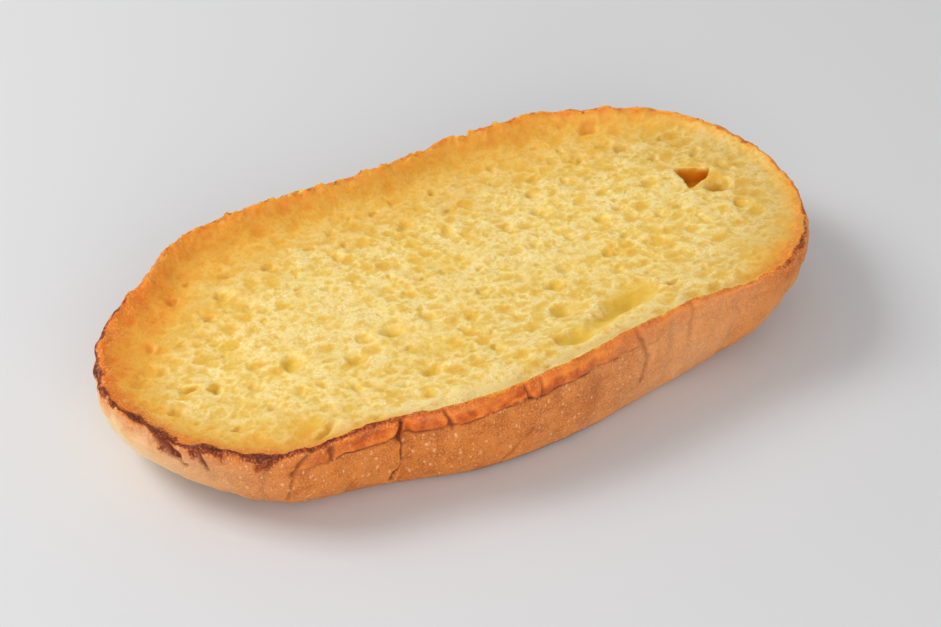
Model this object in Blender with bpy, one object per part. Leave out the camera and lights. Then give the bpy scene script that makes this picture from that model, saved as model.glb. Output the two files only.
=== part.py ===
"""French toast made from the lower half of an oval loaf.

The loaf is cut lengthwise, soaked and browned.  The cut face is up: a dished, porous
crumb inside a torn rim.  Crust covers the side and the flat base that it rests on.

Units are metres.  +X runs along the loaf, -Y is the front, +Z is up and the base is
at z = 0, with the origin in the middle of the loaf's length and width.

The oval is swept round a spine, a straight line along X.  A place on the outline is its
turn, from 0 at the right end (+X), through the back (+Y) and the left end, to 1.
"""

import math
import random

import bmesh
import bpy
from mathutils import Vector, noise

MM = 0.001

SPINE_HALF = 55 * MM
END_RADIUS = 54 * MM

# At 20 even turns: reach from the spine to the rim, height of the rim, how far the base
# lies inside the rim, and how wide the slope from the rim down to the crumb is
RIM_REACH_MM = (54.5, 52, 47.5, 51, 54.5, 52.5, 54, 54, 48.5, 52,
                55, 51, 49.5, 46.5, 54, 55.5, 53, 51.5, 57, 56.5)
RIM_HEIGHT_MM = (29.5, 31, 32, 31.5, 29.5, 29.5, 30, 29, 27.5, 25.5,
                 24.5, 24, 25, 27, 29, 30.5, 31.5, 31.5, 31, 29)
BASE_INSET_MM = (24, 21, 14, 8, 6, 6, 6, 8, 13, 19,
                 22, 19, 12, 6.5, 4.5, 3, 3.5, 8.5, 22, 27)
SLOPE_WIDTH_MM = (7, 6, 6, 7, 8, 8, 8, 9, 12, 16,
                  16, 11, 8, 6, 5, 5, 4, 4, 4, 5)

# Side, from the rim down to the base: squarer where the base lies close to the rim
SQUARE_EXPONENT = 3.0
ROUND_EXPONENT = 2.1
ROUND_INSET_MM = 22
BELLY = 1.6 * MM
LIP_DEPTH = 6.0 * MM
LIP_PROUD = 0.7 * MM

# Dish of the crumb, inside the rim
CRUMB_HEIGHT = 23.2 * MM
CRUMB_RISE_RIGHT = 3.8 * MM
CRUMB_DROP_LEFT = 2.4 * MM
FRONT_RIDGE_RISE = 3.6 * MM
FRONT_RIDGE_Y = -44 * MM
FRONT_RIDGE_SPREAD = 9 * MM
SLOPE_EXPONENT = 1.8

# Large holes in the crumb: x, y, half length, half width, turn in degrees, depth,
# and how far the floor of the hole leans along x and y
HOLES_MM = (
    (86.5, 4.5, 5.2, 4.4, -30, 6.5, 1.0, 1.0),
    (90.0, -4.0, 4.6, 3.6, -32, 3.0, 0.5, -0.5),
    (90.0, -16.0, 3.0, 2.0, -32, 1.6, 0, 0),
    (35.0, -36.0, 11.0, 5.0, 5, 3.2, -0.5, -0.8),
    (14.0, -43.0, 8.0, 3.4, -4, 2.4, 0, -0.5),
    (18.0, -28.0, 4.0, 3.0, -10, 2.0, 0, -0.5),
    (51.5, -35.5, 2.4, 1.6, 30, 1.8, 0, 0),
    (22.5, -17.0, 3.4, 1.8, 10, 1.8, 0, -0.4),
    (-28.0, -11.0, 3.8, 2.8, -25, 2.8, -0.5, -0.6),
    (-27.5, -32.0, 3.8, 3.0, -20, 2.4, 0, -0.6),
    (-42.5, -16.0, 3.6, 2.4, -50, 2.2, 0, -0.5),
    (-58.5, -9.0, 4.6, 3.8, 60, 2.6, -0.6, 0.6),
    (-81.0, -5.5, 3.6, 2.6, 60, 2.8, 0, 0),
    (-87.5, -2.0, 3.0, 2.0, -30, 2.2, 0, 0),
    (-68.0, -35.0, 7.0, 3.0, 25, 2.2, 0, -0.8),
    (-61.5, 28.5, 3.0, 2.2, -30, 2.0, 0, 0),
    (-45.0, 33.0, 3.0, 1.8, 10, 1.6, 0, 0),
    (-15.0, -11.0, 3.4, 2.4, -30, 1.5, 0, 0),
    (52.0, 1.0, 2.8, 1.8, -30, 1.8, 0, 0),
    (71.5, 39.5, 3.4, 1.6, -30, 1.8, 0, 0),
    (-75.0, 34.0, 2.6, 1.8, 0, 1.4, 0, 0),
)

# Small holes, scattered over the crumb
SMALL_HOLE_COUNT = 110
SMALLEST_HOLE_MM = 0.9
SMALL_HOLE_SPREAD_MM = 1.5
SMALL_HOLE_SPACING_MM = 4.5
SMALL_HOLE_SEED = 11

# Upright creases in the side: turn, half width, depth, and how much they slant
CREASES_MM = (
    (0.668, 0.9, 1.5, 1.5),
    (0.636, 1.8, 0.7, -2.0),
    (0.590, 1.2, 0.8, 4.0),
    (0.775, 2.4, 0.8, -7.0),
    (0.822, 2.2, 1.3, 3.0),
    (0.862, 2.4, 1.1, 4.0),
    (0.905, 2.0, 0.7, 2.0),
    (0.060, 2.2, 0.9, -3.0),
    (0.185, 2.0, 1.0, 3.0),
    (0.290, 1.4, 1.3, -2.0),
    (0.405, 2.4, 0.9, 3.0),
    (0.500, 2.0, 0.8, 2.0),
)

# Unevenness of the whole surface
CRUMB_ROUGHNESS = 0.5 * MM
RIM_ROUGHNESS = 1.5 * MM
CRUST_ROUGHNESS = 0.7 * MM
RIM_GRAIN = 6 * MM
SIDE_GRAIN = 9 * MM
BROAD_GRAIN = 26 * MM
TEAR_REACH = 8 * MM
NOISE_SEED = 4

# Mesh
GRID_STEP = 1.25 * MM
SIDE_RINGS = 26
FACE_TARGET = 11400

CRUMB_COLOUR = (0.78, 0.55, 0.17, 1.0)
CRUST_COLOUR = (0.52, 0.20, 0.055, 1.0)

END_ARC = math.pi * END_RADIUS
PERIMETER = 2 * END_ARC + 4 * SPINE_HALF


def clear_scene():
    for item in list(bpy.data.objects):
        bpy.data.objects.remove(item, do_unlink=True)


def smooth_step(low, high, value):
    """0 below low, 1 above high and a smooth rise between them."""
    share = min(max((value - low) / (high - low), 0.0), 1.0)
    return share * share * (3 - 2 * share)


def round_curve(values, turn):
    """Smooth closed curve through values that stand at even turns."""
    count = len(values)
    place = (turn % 1.0) * count
    start = int(place)
    part = place - start
    before, first, second, after = (values[(start + step) % count] for step in (-1, 0, 1, 2))
    bend = 2 * before - 5 * first + 4 * second - after
    twist = 3 * first - before - 3 * second + after
    return 0.5 * (2 * first + (second - before) * part + bend * part ** 2 + twist * part ** 3)


def rim_reach(turn):
    return round_curve(RIM_REACH_MM, turn) * MM


def rim_height(turn):
    return round_curve(RIM_HEIGHT_MM, turn) * MM


def slope_width(turn):
    return round_curve(SLOPE_WIDTH_MM, turn) * MM


def base_inset(turn):
    return round_curve(BASE_INSET_MM, turn) * MM


def side_exponent(turn):
    roundness = min(base_inset(turn) / (ROUND_INSET_MM * MM), 1.0)
    return SQUARE_EXPONENT + (ROUND_EXPONENT - SQUARE_EXPONENT) * roundness


def spine_place(u, v):
    """Where a point of the flat grid belongs: foot on the spine, direction, share and turn.

    The share is 0 on the spine and 1 on the outline.  Beyond the spine's ends the grid's
    squares are turned into half discs, so that its cells stay even.
    """
    beyond = abs(u) - SPINE_HALF
    side = math.copysign(1.0, v)
    if beyond <= 0:
        foot = u
        share = abs(v) / END_RADIUS
        angle = side * math.pi / 2
        along = side * (END_ARC / 2 + SPINE_HALF - u)
    else:
        foot = math.copysign(SPINE_HALF, u)
        share = max(beyond, abs(v)) / END_RADIUS
        if beyond >= abs(v):
            angle = math.pi / 4 * v / beyond
        else:
            angle = side * (math.pi / 2 - math.pi / 4 * beyond / abs(v))
        along = angle * END_RADIUS
        if u < 0:
            angle = math.pi - angle
            along = PERIMETER / 2 - along
    return foot, angle, share, (along / PERIMETER) % 1.0


def crumb_height(x, y):
    """Height of the dish's floor, without its holes."""
    height = CRUMB_HEIGHT
    height += CRUMB_RISE_RIGHT * smooth_step(20 * MM, 105 * MM, x)
    height -= CRUMB_DROP_LEFT * smooth_step(-45 * MM, -100 * MM, x)
    ridge = math.exp(-((y - FRONT_RIDGE_Y) / FRONT_RIDGE_SPREAD) ** 2)
    return height + FRONT_RIDGE_RISE * ridge * smooth_step(-70 * MM, 0.0, x)


def scattered_holes():
    """Small holes, spread at random, kept apart and given as in HOLES_MM."""
    draw = random.Random(SMALL_HOLE_SEED)
    holes = []
    while len(holes) < SMALL_HOLE_COUNT:
        x = draw.uniform(-98, 100)
        y = draw.uniform(-44, 44)
        half_width = SMALLEST_HOLE_MM + SMALL_HOLE_SPREAD_MM * draw.random() ** 2
        half_length = half_width * draw.uniform(1.0, 1.8)
        turn = draw.uniform(-90, 90)
        near_slope = math.hypot(max(abs(x) - SPINE_HALF / MM, 0.0), y) > 43
        crowded = any(math.hypot(x - hole[0], y - hole[1]) < SMALL_HOLE_SPACING_MM + hole[2]
                      for hole in list(HOLES_MM) + holes)
        if not near_slope and not crowded:
            holes.append((x, y, half_length, half_width, turn, half_width, 0, 0))
    return holes


class Hole:
    """A rounded hollow, given as in HOLES_MM."""

    def __init__(self, x, y, half_length, half_width, turn, depth, lean_x, lean_y):
        self.centre = Vector((x, y)) * MM
        self.half_length = half_length * MM
        self.half_width = half_width * MM
        self.cosine = math.cos(math.radians(turn))
        self.sine = math.sin(math.radians(turn))
        self.sink = Vector((lean_x, lean_y, -depth)) * MM

    def move(self, x, y):
        """How far the surface at x, y is carried into the hole."""
        across_x = x - self.centre.x
        across_y = y - self.centre.y
        along = (across_x * self.cosine + across_y * self.sine) / self.half_length
        across = (across_y * self.cosine - across_x * self.sine) / self.half_width
        distance = math.hypot(along, across)
        if distance > 1.3:
            return None
        return self.sink * (1 - smooth_step(0.35, 1.3, distance))


def uneven(point, grain, seed):
    """Seeded noise vector of about unit size, with bumps as wide as the grain."""
    return noise.noise_vector(point / grain + Vector((seed, seed * 1.7, seed * 0.3)))


def rim_point(foot_x, angle, turn):
    """A point of the rim, before its roughness."""
    reach = rim_reach(turn)
    return Vector((foot_x + reach * math.cos(angle), reach * math.sin(angle), rim_height(turn)))


def rim_tear(rim):
    """How far the torn edge of the cut stands from the smooth rim."""
    return uneven(rim, RIM_GRAIN, 3) * RIM_ROUGHNESS


def top_point(foot_x, angle, share, turn, holes):
    """A point of the cut face, from the spine out to the rim."""
    rim = rim_point(foot_x, angle, turn)
    x = foot_x + share * (rim.x - foot_x)
    y = share * rim.y
    inward = (1 - share) * rim_reach(turn) / slope_width(turn)
    floor = crumb_height(x, y)
    point = Vector((x, y, floor + (rim.z - floor) * max(1 - inward, 0.0) ** SLOPE_EXPONENT))
    for hole in holes:
        sink = hole.move(x, y)
        if sink:
            point += sink
    edge = smooth_step(1.4, 0.0, inward)
    return point + rim_tear(rim) * edge + uneven(point, RIM_GRAIN, 8) * CRUMB_ROUGHNESS * (1 - edge)


def crease_depth(turn, height):
    """Depth of the creases at a place of the side."""
    depth = 0.0
    for place, half_width, deepest, slant in CREASES_MM:
        centre = place + slant * MM * (height / (30 * MM) - 0.5) / PERIMETER
        away = (turn - centre + 0.5) % 1.0 - 0.5
        away *= PERIMETER / (half_width * MM)
        depth += deepest * MM * math.exp(-away * away)
    return depth


def side_point(foot_x, angle, turn, level):
    """A point of the side, from the rim, level 0, to the base, level 1."""
    rim = rim_point(foot_x, angle, turn)
    swing = level * math.pi / 2
    power = 2 / side_exponent(turn)
    drop = math.sin(swing) ** power
    inset = base_inset(turn) * (1 - max(math.cos(swing), 0.0) ** power)
    height = rim.z * (1 - drop)
    below_rim = rim.z - height
    lip = smooth_step(0.0, LIP_DEPTH / 4, below_rim) * smooth_step(LIP_DEPTH * 1.15, LIP_DEPTH, below_rim)
    swell = BELLY * math.sin(math.pi * drop) + LIP_PROUD * lip
    free = smooth_step(0.0, 4 * MM, height) * smooth_step(0.0, 3 * MM, below_rim)
    outward = Vector((math.cos(angle), math.sin(angle), 0.0))
    point = rim + outward * (swell - inset - free * crease_depth(turn, height))
    point.z = height
    bump = uneven(point, SIDE_GRAIN, 5) * CRUST_ROUGHNESS * 0.5
    bump += uneven(point, BROAD_GRAIN, 6) * CRUST_ROUGHNESS
    bump *= smooth_step(0.0, TEAR_REACH, below_rim)
    bump += rim_tear(rim) * smooth_step(TEAR_REACH, 0.0, below_rim)
    bump.z *= smooth_step(0.0, 6 * MM, height)
    return point + bump


def shape_top(mesh, holes):
    """Turn the flat grid into the cut face, and note where each outline vertex belongs."""
    outline = {}
    half_length = SPINE_HALF + END_RADIUS
    for vertex in mesh.verts:
        foot_x, angle, share, turn = spine_place(vertex.co.x * half_length, vertex.co.y * END_RADIUS)
        vertex.co = top_point(foot_x, angle, share, turn, holes)
        if vertex.is_boundary:
            outline[vertex] = (foot_x, angle, turn)
    return outline


def add_side(mesh, outline):
    """Extrude the outline down to the base, ring by ring."""
    ring = [edge for edge in mesh.edges if edge.is_boundary]
    for step in range(1, SIDE_RINGS + 1):
        grown = bmesh.ops.extrude_edge_only(mesh, edges=ring)["geom"]
        ring = [item for item in grown if isinstance(item, bmesh.types.BMEdge) and item.is_boundary]
        lower = {}
        for vertex in (item for item in grown if isinstance(item, bmesh.types.BMVert)):
            neighbours = (edge.other_vert(vertex) for edge in vertex.link_edges)
            lower[vertex] = next(outline[other] for other in neighbours if other in outline)
            vertex.co = side_point(*lower[vertex], step / SIDE_RINGS)
            for face in vertex.link_faces:
                face.material_index = 1
        outline = lower


def thin_out(mesh_data):
    """Merge faces where the surface is plain, down to FACE_TARGET."""
    holder = bpy.data.objects.new("full_detail", mesh_data)
    bpy.context.scene.collection.objects.link(holder)
    decimate = holder.modifiers.new("Thin out", "DECIMATE")
    triangles = sum(len(polygon.vertices) - 2 for polygon in mesh_data.polygons)
    decimate.ratio = FACE_TARGET / triangles
    graph = bpy.context.evaluated_depsgraph_get()
    thinned = bpy.data.meshes.new_from_object(holder.evaluated_get(graph))
    bpy.data.objects.remove(holder, do_unlink=True)
    return thinned


def close_base(mesh_data):
    """Set the lowest ring on z = 0, fill it flat, and centre the whole over the origin."""
    mesh = bmesh.new()
    mesh.from_mesh(mesh_data)
    ring = [edge for edge in mesh.edges if edge.is_boundary]
    for edge in ring:
        for vertex in edge.verts:
            vertex.co.z = 0.0
    base = bmesh.ops.contextual_create(mesh, geom=ring)["faces"][0]
    base.material_index = 1
    bmesh.ops.recalc_face_normals(mesh, faces=mesh.faces)
    low = Vector([min(vertex.co[axis] for vertex in mesh.verts) for axis in range(2)] + [0.0])
    high = Vector([max(vertex.co[axis] for vertex in mesh.verts) for axis in range(2)] + [0.0])
    bmesh.ops.translate(mesh, verts=mesh.verts, vec=-(low + high) / 2)
    mesh.to_mesh(mesh_data)
    mesh.free()


def make_material(name, colour, roughness):
    material = bpy.data.materials.new(name)
    material.use_nodes = True
    shader = material.node_tree.nodes["Principled BSDF"]
    shader.inputs["Base Color"].default_value = colour
    shader.inputs["Roughness"].default_value = roughness
    shader.inputs["Metallic"].default_value = 0.0
    material.diffuse_color = colour
    return material


def make_french_toast():
    holes = [Hole(*sizes) for sizes in list(HOLES_MM) + scattered_holes()]
    mesh = bmesh.new()
    columns = round(2 * (SPINE_HALF + END_RADIUS) / GRID_STEP)
    rows = round(2 * END_RADIUS / GRID_STEP)
    bmesh.ops.create_grid(mesh, x_segments=columns, y_segments=rows, size=1.0)
    outline = shape_top(mesh, holes)
    add_side(mesh, outline)
    mesh_data = bpy.data.meshes.new("french_toast")
    mesh.to_mesh(mesh_data)
    mesh.free()
    mesh_data = thin_out(mesh_data)
    close_base(mesh_data)
    mesh_data.materials.append(make_material("crumb", CRUMB_COLOUR, 0.6))
    mesh_data.materials.append(make_material("crust", CRUST_COLOUR, 0.5))
    mesh_data.shade_smooth()
    mesh_data.set_sharp_from_angle(angle=math.radians(50))
    toast = bpy.data.objects.new("french_toast", mesh_data)
    bpy.context.scene.collection.objects.link(toast)


clear_scene()
noise.seed_set(NOISE_SEED)
make_french_toast()
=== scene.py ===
import math
import random

import bpy
import numpy as np
from mathutils import Matrix, Vector, noise


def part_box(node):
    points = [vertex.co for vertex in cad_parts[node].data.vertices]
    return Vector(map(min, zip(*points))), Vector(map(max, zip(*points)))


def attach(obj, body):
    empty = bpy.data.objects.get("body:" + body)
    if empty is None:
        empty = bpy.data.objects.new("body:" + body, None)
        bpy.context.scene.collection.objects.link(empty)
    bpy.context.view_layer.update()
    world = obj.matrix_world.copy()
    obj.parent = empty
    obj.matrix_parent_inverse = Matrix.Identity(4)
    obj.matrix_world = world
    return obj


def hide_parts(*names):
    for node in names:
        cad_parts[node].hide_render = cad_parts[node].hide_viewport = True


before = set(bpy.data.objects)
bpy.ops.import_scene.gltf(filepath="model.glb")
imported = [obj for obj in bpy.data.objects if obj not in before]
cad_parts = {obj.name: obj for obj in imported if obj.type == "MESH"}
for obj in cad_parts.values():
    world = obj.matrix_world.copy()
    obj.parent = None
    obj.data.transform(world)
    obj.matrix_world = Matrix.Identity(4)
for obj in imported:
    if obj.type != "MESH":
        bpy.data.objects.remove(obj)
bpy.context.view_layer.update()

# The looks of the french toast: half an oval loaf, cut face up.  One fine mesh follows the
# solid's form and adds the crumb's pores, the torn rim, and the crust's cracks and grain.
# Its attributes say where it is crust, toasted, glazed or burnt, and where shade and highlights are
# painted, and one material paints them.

MM = 0.001

# ---------------------------------------------------------------- form, as in the solid
SPINE_HALF = 55 * MM
END_RADIUS = 54 * MM

# At 20 even turns: reach from the spine to the rim, height of the rim, how far the base
# lies inside the rim, and how wide the slope from the rim down to the crumb is
RIM_REACH_MM = (54.5, 52, 47.5, 51, 54.5, 52.5, 54, 54, 48.5, 52,
                55, 51, 49.5, 46.5, 54, 55.5, 53, 51.5, 57, 56.5)
RIM_HEIGHT_MM = (29.5, 31, 32, 31.5, 29.5, 29.5, 30, 29, 27.5, 25.5,
                 24.5, 24, 25, 27, 29, 30.5, 31.5, 31.5, 31, 29)
BASE_INSET_MM = (24, 21, 14, 8, 6, 6, 6, 8, 13, 19,
                 22, 19, 12, 6.5, 4.5, 3, 3.5, 8.5, 22, 27)
SLOPE_WIDTH_MM = (7, 6, 6, 7, 8, 8, 8, 9, 12, 16,
                  16, 11, 8, 6, 5, 5, 4, 4, 4, 5)

# Side, from the rim down to the base: squarer where the base lies close to the rim
SQUARE_EXPONENT = 3.0
ROUND_EXPONENT = 2.1
ROUND_INSET_MM = 22
BELLY = 1.6 * MM
LIP_DEPTH = 6.0 * MM
LIP_PROUD = 0.7 * MM
LIP_FADE = 1.15
BASE_DROP = 30 * MM
# How far from the base and from the rim the creases and the roughness fade in
CREASE_FOOT_FADE = 4 * MM
CREASE_RIM_FADE = 3 * MM
TEAR_FOOT_FADE = 3 * MM
BUMP_FOOT_FADE = 6 * MM

# Dish of the crumb, inside the rim.  It rises, drops and grows its ridge between two x
CRUMB_HEIGHT = 23.2 * MM
CRUMB_RISE_RIGHT = 3.8 * MM
CRUMB_RISE_X = (20 * MM, 105 * MM)
CRUMB_DROP_LEFT = 2.4 * MM
CRUMB_DROP_X = (-45 * MM, -100 * MM)
FRONT_RIDGE_RISE = 3.6 * MM
FRONT_RIDGE_X = (-70 * MM, 0.0)
FRONT_RIDGE_Y = -44 * MM
FRONT_RIDGE_SPREAD = 9 * MM
SLOPE_EXPONENT = 1.8

# Large holes in the crumb: x, y, half length, half width, turn in degrees, depth,
# and how far the floor of the hole leans along x and y
HOLES_MM = (
    (86.5, 4.5, 5.2, 4.4, -30, 6.5, 1.0, 1.0),
    (90.0, -4.0, 4.6, 3.6, -32, 3.0, 0.5, -0.5),
    (90.0, -16.0, 3.0, 2.0, -32, 1.6, 0, 0),
    (35.0, -36.0, 11.0, 5.0, 5, 3.2, -0.5, -0.8),
    (14.0, -43.0, 8.0, 3.4, -4, 2.4, 0, -0.5),
    (18.0, -28.0, 4.0, 3.0, -10, 2.0, 0, -0.5),
    (51.5, -35.5, 2.4, 1.6, 30, 1.8, 0, 0),
    (22.5, -17.0, 3.4, 1.8, 10, 1.8, 0, -0.4),
    (-28.0, -11.0, 3.8, 2.8, -25, 2.8, -0.5, -0.6),
    (-27.5, -32.0, 3.8, 3.0, -20, 2.4, 0, -0.6),
    (-42.5, -16.0, 3.6, 2.4, -50, 2.2, 0, -0.5),
    (-58.5, -9.0, 4.6, 3.8, 60, 2.6, -0.6, 0.6),
    (-81.0, -5.5, 3.6, 2.6, 60, 2.8, 0, 0),
    (-87.5, -2.0, 3.0, 2.0, -30, 2.2, 0, 0),
    (-68.0, -35.0, 7.0, 3.0, 25, 2.2, 0, -0.8),
    (-61.5, 28.5, 3.0, 2.2, -30, 2.0, 0, 0),
    (-45.0, 33.0, 3.0, 1.8, 10, 1.6, 0, 0),
    (-15.0, -11.0, 3.4, 2.4, -30, 1.5, 0, 0),
    (52.0, 1.0, 2.8, 1.8, -30, 1.8, 0, 0),
    (71.5, 39.5, 3.4, 1.6, -30, 1.8, 0, 0),
    (-75.0, 34.0, 2.6, 1.8, 0, 1.4, 0, 0),
)

# Small holes, scattered over the crumb
SMALL_HOLE_COUNT = 110
SMALLEST_HOLE_MM = 0.9
SMALL_HOLE_SPREAD_MM = 1.5
SMALL_HOLE_SPACING_MM = 4.5
SMALL_HOLE_SEED = 11
SMALL_HOLE_X_MM = (-98, 100)
SMALL_HOLE_Y_MM = (-44, 44)
SMALL_HOLE_LENGTHS = (1.0, 1.8)
SMALL_HOLE_FIELD_MM = 43

# Upright creases in the side: turn, half width, depth, and how much they slant
CREASES_MM = (
    (0.668, 0.9, 1.5, 1.5),
    (0.636, 1.8, 0.7, -2.0),
    (0.590, 1.2, 0.8, 4.0),
    (0.775, 2.4, 0.8, -7.0),
    (0.822, 2.2, 1.3, 3.0),
    (0.862, 2.4, 1.1, 4.0),
    (0.905, 2.0, 0.7, 2.0),
    (0.060, 2.2, 0.9, -3.0),
    (0.185, 2.0, 1.0, 3.0),
    (0.290, 1.4, 1.3, -2.0),
    (0.405, 2.4, 0.9, 3.0),
    (0.500, 2.0, 0.8, 2.0),
)
CREASE_SLANT_HEIGHT = 30 * MM

# Unevenness of the whole surface
CRUMB_ROUGHNESS = 0.5 * MM
CRUMB_FADE = 6 * MM
RIM_ROUGHNESS = 1.5 * MM
CRUST_ROUGHNESS = 0.7 * MM
RIM_GRAIN = 6 * MM
SIDE_GRAIN = 9 * MM
BROAD_GRAIN = 26 * MM
TEAR_REACH = 8 * MM
NOISE_SEED = 4

END_ARC = math.pi * END_RADIUS
PERIMETER = 2 * END_ARC + 4 * SPINE_HALF

# ---------------------------------------------------------------- fine surface
FINE_STEP = 0.44 * MM
SIDE_RINGS = 74
TRIANGLE_LIMIT = 196000

# The torn rim: how far from it the tearing and the rounding reach, and its crags as
# grain, depth, reach and seed
RIM_SHAPE_REACH = 12 * MM
TEAR_WIDTH = 6 * MM
TEAR_PATCH_GRAIN = 22 * MM
RIM_ROUND = 1.4 * MM
CRAG_EDGE = 0.3 * MM
CRAGS_MM = ((2.8, 1.05, 3.0, 21), (1.3, 0.75, 2.0, 22))

# The solid's first hole, here with three corners: x, y, inner radius, turn in degrees,
# depth, and how far its floor leans along x and y
BIG_HOLE_MM = (85.9, 3.6, 3.3, 51, 6.0, 1.2, 1.2)
BIG_HOLE_EDGE = (0.75, 1.1)
BIG_HOLE_WARP = 0.3
CORNER_POWER = 5

# How the holes are drawn.  Narrow ones have a wavier edge, and wide ones a flatter floor
HOLE_EDGE = 1.15
HOLE_WARP_GRAIN = 3.6 * MM
NARROW_HOLE_MM = 3
NARROW_WARP = 0.9
WIDE_WARP = 0.35
WIDE_HOLE_MM = 3.4
WIDE_FLAT_SHARE = 0.2
FLAT_SHARE = 0.1
HOLE_SINK = 0.85
SMALL_HOLE_SINK = 0.6
FULL_COLOUR_MM = 2.2
SMALL_FULL_COLOUR_MM = 3.5
SMALL_MOST_COLOUR = 0.6

# Folds in the crumb that are too slight for the solid, as its holes are given.  The one
# with a depth below 0 fills up a hole of the solid
FOLDS_MM = (
    (-64.5, -38.3, 6.5, 1.5, 18, 1.7, 0, 0),
    (-54.0, -34.0, 10.0, 3.4, 12, 0.6, 0, 0),
    (-68.0, -35.0, 7.0, 3.0, 25, -1.5, 0, 0.6),
    (-20.0, -25.0, 9.0, 5.0, -15, 0.8, 0, 0),
    (-72.0, 6.0, 8.0, 6.0, 20, 0.8, 0, 0),
    (2.0, 8.0, 9.0, 5.5, -25, 0.7, 0, 0),
    (48.0, -14.0, 3.0, 2.0, 20, 1.2, 0, 0),
    (30.0, -12.0, 2.8, 2.0, -40, 1.2, 0, 0),
    (60.0, 12.0, 2.4, 1.8, -20, 1.2, 0, 0),
    (38.0, -33.5, 10.5, 6.8, -8, 1.8, 0, -0.2),
    (25.5, -39.5, 7.5, 4.8, 28, 2.4, 0, 0),
    (15.0, -42.0, 11.0, 4.2, 12, 1.3, 0, 0),
    (20.5, -28.5, 7.5, 4.0, -10, 1.1, 0, 0),
    (90.6, -3.6, 4.4, 3.2, -35, 4.2, 0, 0),
    (72.4, 30.9, 3.4, 1.8, -30, 1.2, 0, 0),
    (93.4, 22.8, 2.6, 1.6, -40, 1.0, 0, 0),
    (-74.3, 33.7, 5.0, 4.0, 40, 0.5, 0, 0),
)

# Cracks in the crust: turn and height at the top, turn and height at the foot,
# half width, depth, and how dark the crack is painted, which is painted shade
CRACKS_MM = (
    (0.6665, 28.5, 0.6650, 20.5, 0.80, 1.5, 1.0),
    (0.6650, 20.5, 0.6655, 12.0, 0.55, 1.3, 0.85),
    (0.6655, 12.0, 0.6620, 4.0, 0.45, 1.0, 0.7),
    (0.6870, 28.0, 0.6885, 22.0, 0.6, 0.7, 0.6),
    (0.7290, 29.0, 0.7310, 23.5, 0.6, 0.7, 0.5),
    (0.7370, 28.0, 0.7380, 24.0, 0.5, 0.5, 0.4),
    (0.7330, 12.5, 0.7190, 1.0, 0.5, 0.7, 0.3),
    (0.6130, 24.0, 0.6050, 17.0, 0.9, 0.6, 0.5),
    (0.6050, 17.0, 0.6020, 5.0, 0.5, 0.7, 0.25),
    (0.5330, 24.0, 0.5450, 18.5, 1.3, 1.6, 0.8),
    (0.5450, 18.5, 0.5480, 16.5, 0.8, 0.9, 0.6),
    (0.5560, 22.5, 0.5600, 17.5, 0.9, 0.8, 0.6),
    (0.6270, 24.0, 0.6260, 19.5, 0.8, 0.6, 0.5),
    (0.7980, 30.0, 0.8050, 20.0, 1.0, 1.1, 0.30),
    (0.8050, 20.0, 0.8000, 10.5, 0.7, 0.9, 0.25),
    (0.8330, 30.0, 0.8330, 19.0, 1.0, 0.9, 0.15),
    (0.1400, 27.0, 0.1440, 9.0, 0.6, 0.8, 0.35),
    (0.2400, 26.0, 0.2360, 14.0, 0.7, 0.9, 0.35),
    (0.3300, 22.0, 0.3360, 6.0, 0.6, 0.8, 0.35),
    (0.4300, 20.0, 0.4260, 8.0, 0.6, 0.7, 0.3),
)

# Where the crust curls in over the rim, or starts below it: turn, half width in turns, mm
CURLS = ((0.518, 0.014, 2.6), (0.462, 0.022, -1.3))

# At 20 even turns round the loaf, as in the form above
BURN = (0, 0, 0.05, 0.06, 0.05, 0.05, 0.06, 0.08, 0.25, 0.75,
        0.95, 1.0, 1.0, 0.5, 0.32, 0.2, 0.12, 0.0, 0.4, 0.4)
TOAST = (0.5, 0.5, 0.5, 0.58, 0.6, 0.6, 0.62, 0.75, 0.9, 1,
         1, 1, 1, 0.95, 0.8, 0.6, 0.6, 0.6, 1, 0.8)
TOAST_WIDTH_MM = (3, 3.5, 14, 18, 18, 18, 18, 20, 19, 17.5,
                  12, 9.5, 11, 5.5, 2.2, 1.3, 1.1, 1.4, 9, 5)
RAGGED_RIM = (0.5, 0.7, 0.9, 1, 1, 1, 1, 1, 1, 1,
              0.9, 0.8, 0.6, 0.3, 0.2, 0.2, 0.2, 0.3, 0.7, 0.5)
GLAZE = (0.1, 0, 0, 0, 0, 0, 0, 0, 0, 0,
         0, 0, 0.1, 0.9, 1.0, 0.9, 0.3, 0.05, 0.1, 0.1)
# Painted shade: how much darker the crumb is painted near the rim, where the sloping dish gets less
# light
PAINTED_SHADE_BY_TURN = (1, 1, 0.7, 0.55, 0.5, 0.4, 0.55, 0.75, 1, 1,
         0.8, 0.5, 0.4, 0.2, 0, 0, 0, 0.4, 0.8, 1)
# Golden fringe below the rim: partly the crust's own toasted edge, partly painted light where the
# back right rim lies in shade
FRINGE = (0.8, 0.8, 0.8, 0.7, 0.6, 0.6, 0.6, 0.6, 0.5, 0.3,
          0.1, 0.1, 0.1, 0.4, 0.9, 1.0, 0.9, 0.9, 0.5, 0.8)
SPECKLE = (0.2, 0.3, 0.4, 0.5, 0.5, 0.5, 0.5, 0.5, 0.5, 0.5,
           0.5, 0.7, 1, 1, 1, 0.95, 0.55, 0.4, 0.35, 0.2)
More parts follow.
